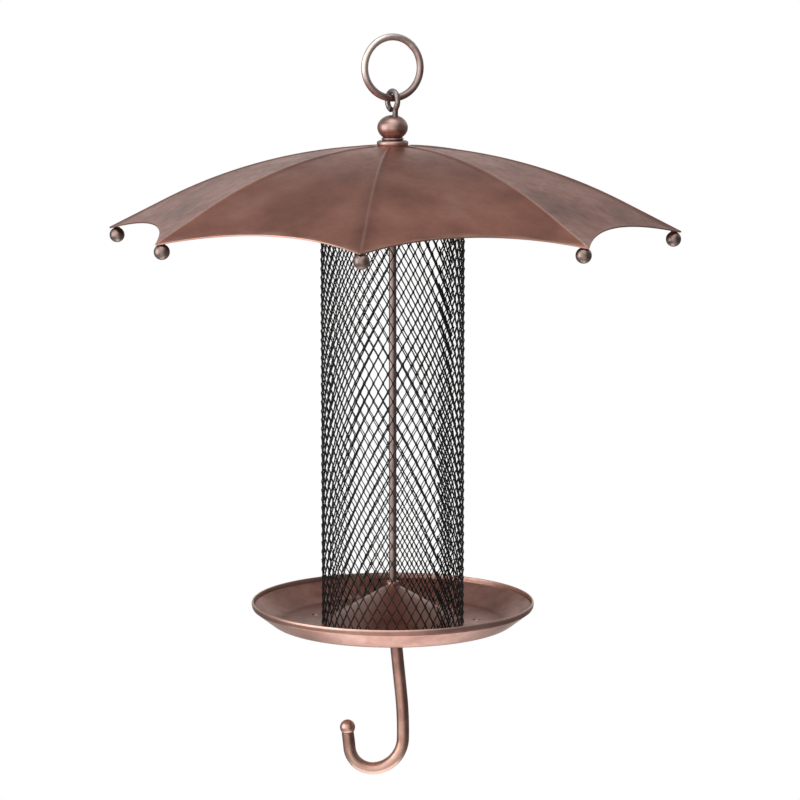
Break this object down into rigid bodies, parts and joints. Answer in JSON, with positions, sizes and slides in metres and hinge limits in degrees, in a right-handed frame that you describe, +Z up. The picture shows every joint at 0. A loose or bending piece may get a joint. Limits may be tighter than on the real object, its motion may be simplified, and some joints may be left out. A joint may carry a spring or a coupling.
{
  "type": "hanging bird feeder",
  "caption": "Hanging bird feeder: umbrella-shaped sheet roof over an expanded-metal seed tube, with a dished tray, a hanging ring and a crook hook below.",
  "frame": {"origin": "hanging point: the inside top of the hanging ring, on the feeder's axis", "axes": "+Z up along the feeder's axis, -Y the front, and the crook opens towards -X"},
  "size_m": [0.2986, 0.2986, 0.3939],
  "materials": {
    "roof_copper": "satin",
    "tray_copper": "satin",
    "ring_copper": "satin",
    "tip_bronze": "satin",
    "dark_bronze": "satin",
    "black_mesh": "satin",
    "zinc_steel": "satin"
  },
  "bodies": {
    "feeder": {"centre_rod": "tray_copper", "mesh_tube": "black_mesh", "tube_top_band": "black_mesh", "seed_cone": "tray_copper", "cone_nut": "tray_copper", "feeding_tray": "tray_copper", "tray_washer": "zinc_steel", "hook_coupling": "tray_copper", "crook_hook": "tray_copper", "hook_ball": "tray_copper"},
    "roof": {"roof_canopy": "roof_copper", "rib_tip_ball_1": "tip_bronze", "rib_tip_ball_2": "tip_bronze", "rib_tip_ball_3": "tip_bronze", "rib_tip_ball_4": "tip_bronze", "rib_tip_ball_5": "tip_bronze", "rib_tip_ball_6": "tip_bronze", "rib_tip_ball_7": "tip_bronze", "rib_tip_ball_8": "tip_bronze"},
    "finial": {"finial_ball": "ring_copper", "finial_collar": "ring_copper", "wire_eye": "dark_bronze"},
    "ring": {"hanging_ring": "ring_copper"}
  },
  "joints": [
    {"name": "roof_lift", "type": "slide", "parent": "feeder", "child": "roof", "axis": [0, 0, 1], "range_m": [0, 0.1]},
    {"name": "finial_turn", "type": "hinge", "parent": "roof", "child": "finial", "pos_m": [0, 0, -0.0546], "axis": [0, 0, 1], "continuous": true},
    {"name": "ring_swing", "type": "hinge", "parent": "finial", "child": "ring", "pos_m": [0, 0, -0.02965], "axis": [0.9135, 0.4067, 0], "range_deg": [-138, 138]}
  ]
}
